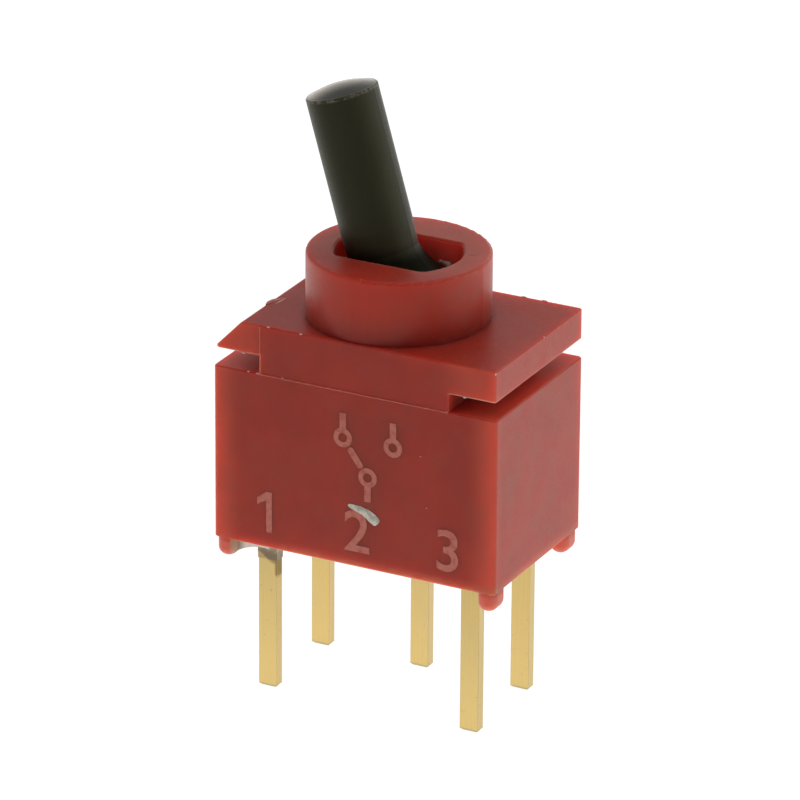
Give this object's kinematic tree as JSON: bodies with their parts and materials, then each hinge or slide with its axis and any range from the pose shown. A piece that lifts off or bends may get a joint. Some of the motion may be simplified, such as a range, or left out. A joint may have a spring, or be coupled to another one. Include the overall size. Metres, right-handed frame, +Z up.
{
  "type": "toggle switch",
  "caption": "Sub-miniature through-hole toggle switch: notched moulded case, round slotted bushing, leaning stub lever and straight plated pins.",
  "frame": {"origin": "middle of the body's plan, in the plane of the terminal tips", "axes": "+Z up along the bushing's axis, +X along the body's long side away from the bevelled flange end, -Y out of the front long face"},
  "size_m": [0.007, 0.0044, 0.0143],
  "materials": {
    "red_moulding": "satin dark red moulded nylon, slightly translucent at edges",
    "dark_moulding": "dark moulded base",
    "resin": "grey-green potting resin",
    "black_moulding": "satin black moulded nylon",
    "follower_metal": "turned brass, nickel plated",
    "spring_steel": "drawn spring wire",
    "gold_plate": "pale gold plated copper alloy"
  },
  "bodies": {
    "body": {"housing": "red_moulding", "base": "dark_moulding", "terminal_seal": "resin", "common_terminal": "gold_plate", "left_terminal": "gold_plate", "right_terminal": "gold_plate", "left_support_pin": "gold_plate", "right_support_pin": "gold_plate"},
    "lever": {"lever": "black_moulding", "plunger_spring": "spring_steel"},
    "plunger": {"plunger": "follower_metal"},
    "rocker": {"rocker_contact": "gold_plate"}
  },
  "joints": [
    {"name": "lever_tilt", "type": "hinge", "parent": "body", "child": "lever", "pos_m": [0, 0, 0.00912], "axis": [0, 1, 0], "range_deg": [0, 32.6]},
    {"name": "rocker_tilt", "type": "hinge", "parent": "body", "child": "rocker", "pos_m": [0, 0, 0.00619], "axis": [0, 1, 0], "range_deg": [-12.72, 0]},
    {"name": "plunger_slide", "type": "slide", "parent": "lever", "child": "plunger", "axis": [-0.2807, 0, 0.9598], "range_m": [0, 0.0003], "stiffness_N_per_m": 200, "springref_m": -0.0005, "deforming": ["plunger_spring"]}
  ],
  "couplings": [
    {"joint": "rocker_tilt", "follows": "lever_tilt", "ratio": -0.39}
  ]
}
